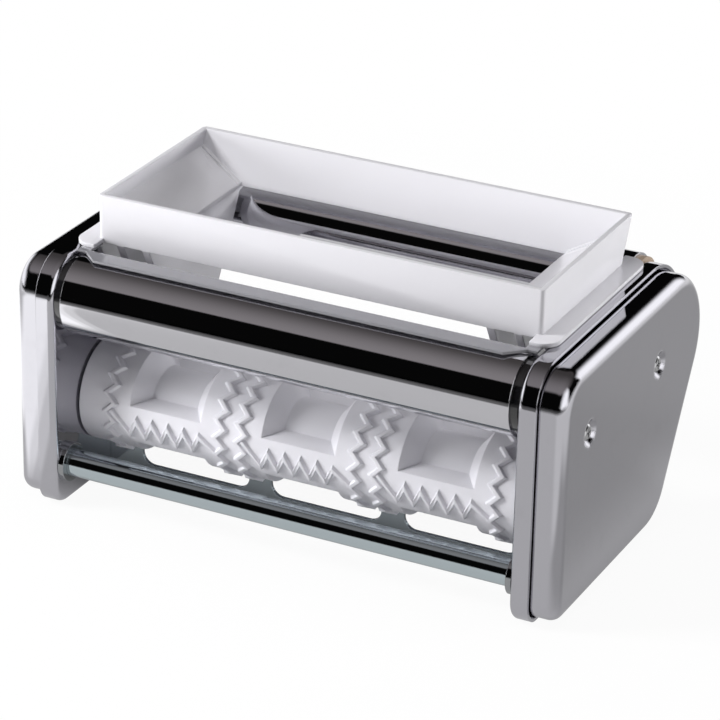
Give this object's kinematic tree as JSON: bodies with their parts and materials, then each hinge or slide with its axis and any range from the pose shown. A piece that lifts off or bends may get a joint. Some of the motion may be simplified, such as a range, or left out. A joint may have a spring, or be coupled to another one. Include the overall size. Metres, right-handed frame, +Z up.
{
  "type": "ravioli attachment",
  "caption": "Hand-cranked ravioli attachment: geared moulding rollers between chromed side frames, dough guide tubes above them, and a white lift-off filling hopper.",
  "frame": {"origin": "middle of the footprint, at the underside of the side frames", "axes": "+X along the rollers away from the crank socket, -Y towards the front, where the dough tube overhangs, +Z up"},
  "size_m": [0.1992, 0.121, 0.1063],
  "materials": {
    "chrome": "polished",
    "bright_steel": "turned",
    "bronze": "sintered",
    "dark_plastic": "gloss",
    "tan_plastic": "gloss",
    "white_roller": "satin moulded",
    "white_hopper": "gloss moulded"
  },
  "bodies": {
    "frame": {"left_frame_plate": "chrome", "right_frame_plate": "chrome", "left_cover": "chrome", "right_cover": "chrome", "left_cover_screws": "bright_steel", "right_cover_screws": "bright_steel", "left_standoffs": "bright_steel", "right_standoffs": "bright_steel", "front_guide_tube": "chrome", "rear_guide_tube": "chrome", "front_tube_rings": "dark_plastic", "rear_tube_rings": "tan_plastic", "tube_screws": "bright_steel", "front_tie_rod": "chrome", "rear_tie_rod": "chrome", "tie_rod_collars": "dark_plastic", "tie_rod_nuts": "bright_steel", "front_lower_guide": "chrome", "rear_lower_guide": "chrome", "lower_guide_screws": "bright_steel", "left_bushes": "bronze", "right_bushes": "bronze"},
    "drive_roller": {"front_mould_roller": "white_roller", "drive_shaft": "bright_steel", "drive_shaft_clip": "bright_steel", "drive_gear": "bright_steel"},
    "driven_roller": {"rear_mould_roller": "white_roller", "driven_shaft": "bright_steel", "driven_shaft_clips": "bright_steel", "driven_gear": "bright_steel"},
    "hopper": {"hopper": "white_hopper", "dough_strip": "white_hopper"}
  },
  "joints": [
    {"name": "drive_roller_spin", "type": "hinge", "parent": "frame", "child": "drive_roller", "pos_m": [0, -0.02761, 0.0328], "axis": [1, 0, 0], "continuous": true},
    {"name": "driven_roller_spin", "type": "hinge", "parent": "frame", "child": "driven_roller", "pos_m": [0, 0.01129, 0.0328], "axis": [1, 0, 0], "continuous": true},
    {"name": "hopper_lift", "type": "slide", "parent": "frame", "child": "hopper", "axis": [0, 0, 1], "range_m": [0, 0.06]}
  ],
  "couplings": [
    {"joint": "driven_roller_spin", "follows": "drive_roller_spin", "ratio": -1}
  ]
}
